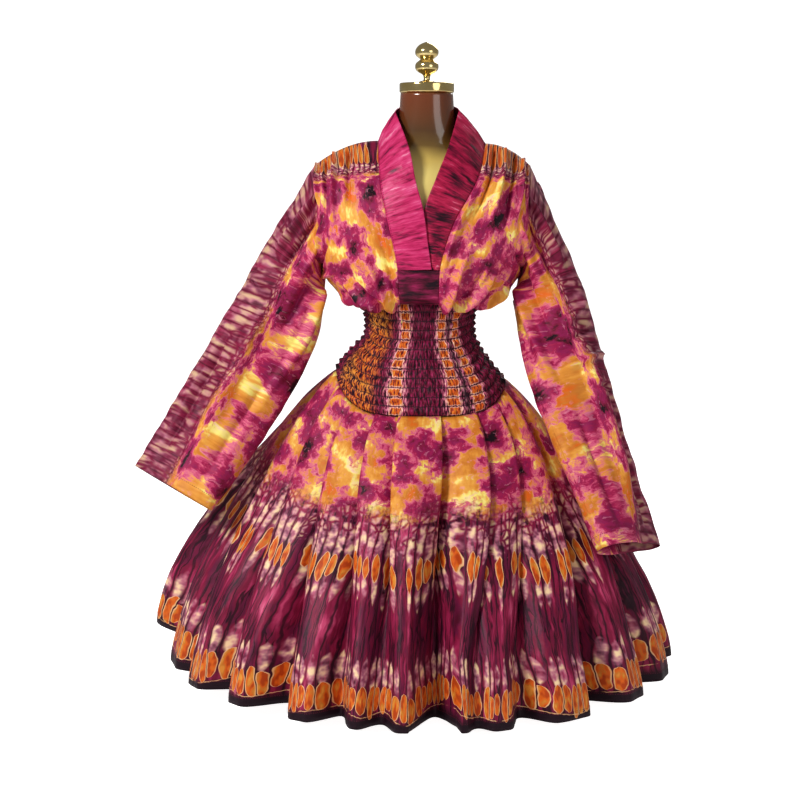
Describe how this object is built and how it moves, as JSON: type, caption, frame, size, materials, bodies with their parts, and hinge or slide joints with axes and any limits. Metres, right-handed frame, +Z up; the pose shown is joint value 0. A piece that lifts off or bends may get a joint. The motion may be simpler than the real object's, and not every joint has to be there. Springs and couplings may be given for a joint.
{
  "type": "ankara wax print dress on a dress form",
  "caption": "Wax print dress with a crossed neck band, long wide sleeves, shirred waist and full pleated skirt, worn by a limbless dress form on a round foot.",
  "frame": {"origin": "centre of the foot's underside, where the dress form stands", "axes": "+Z up along the pole, the front of the dress faces -Y, and the wearer's left is +X"},
  "size_m": [0.9965, 0.9137, 1.174],
  "materials": {
    "print_cloth": "smooth printed cotton with a slight wax sheen",
    "band_cloth": "smooth printed cotton, bright pink with dark streaks",
    "waist_cloth": "shirred printed cotton, dark plum with orange marks",
    "form_shell": "glossy brown lacquer that pales towards the chest",
    "brass": "polished",
    "stand_metal": "satin black"
  },
  "bodies": {
    "root": {"bodice_front_right": "print_cloth", "bodice_front_left": "print_cloth", "bodice_back": "print_cloth", "sleeve_right": "print_cloth", "sleeve_left": "print_cloth", "skirt_front": "print_cloth", "skirt_back": "print_cloth", "neck_band_right": "band_cloth", "neck_band_left": "band_cloth", "neck_band_back": "band_cloth", "placket": "waist_cloth", "waistband_front": "waist_cloth", "waistband_back": "waist_cloth", "form_torso": "form_shell", "neck_cap": "brass", "finial": "brass", "pole": "stand_metal", "base_plate": "stand_metal"}
  },
  "joints": []
}
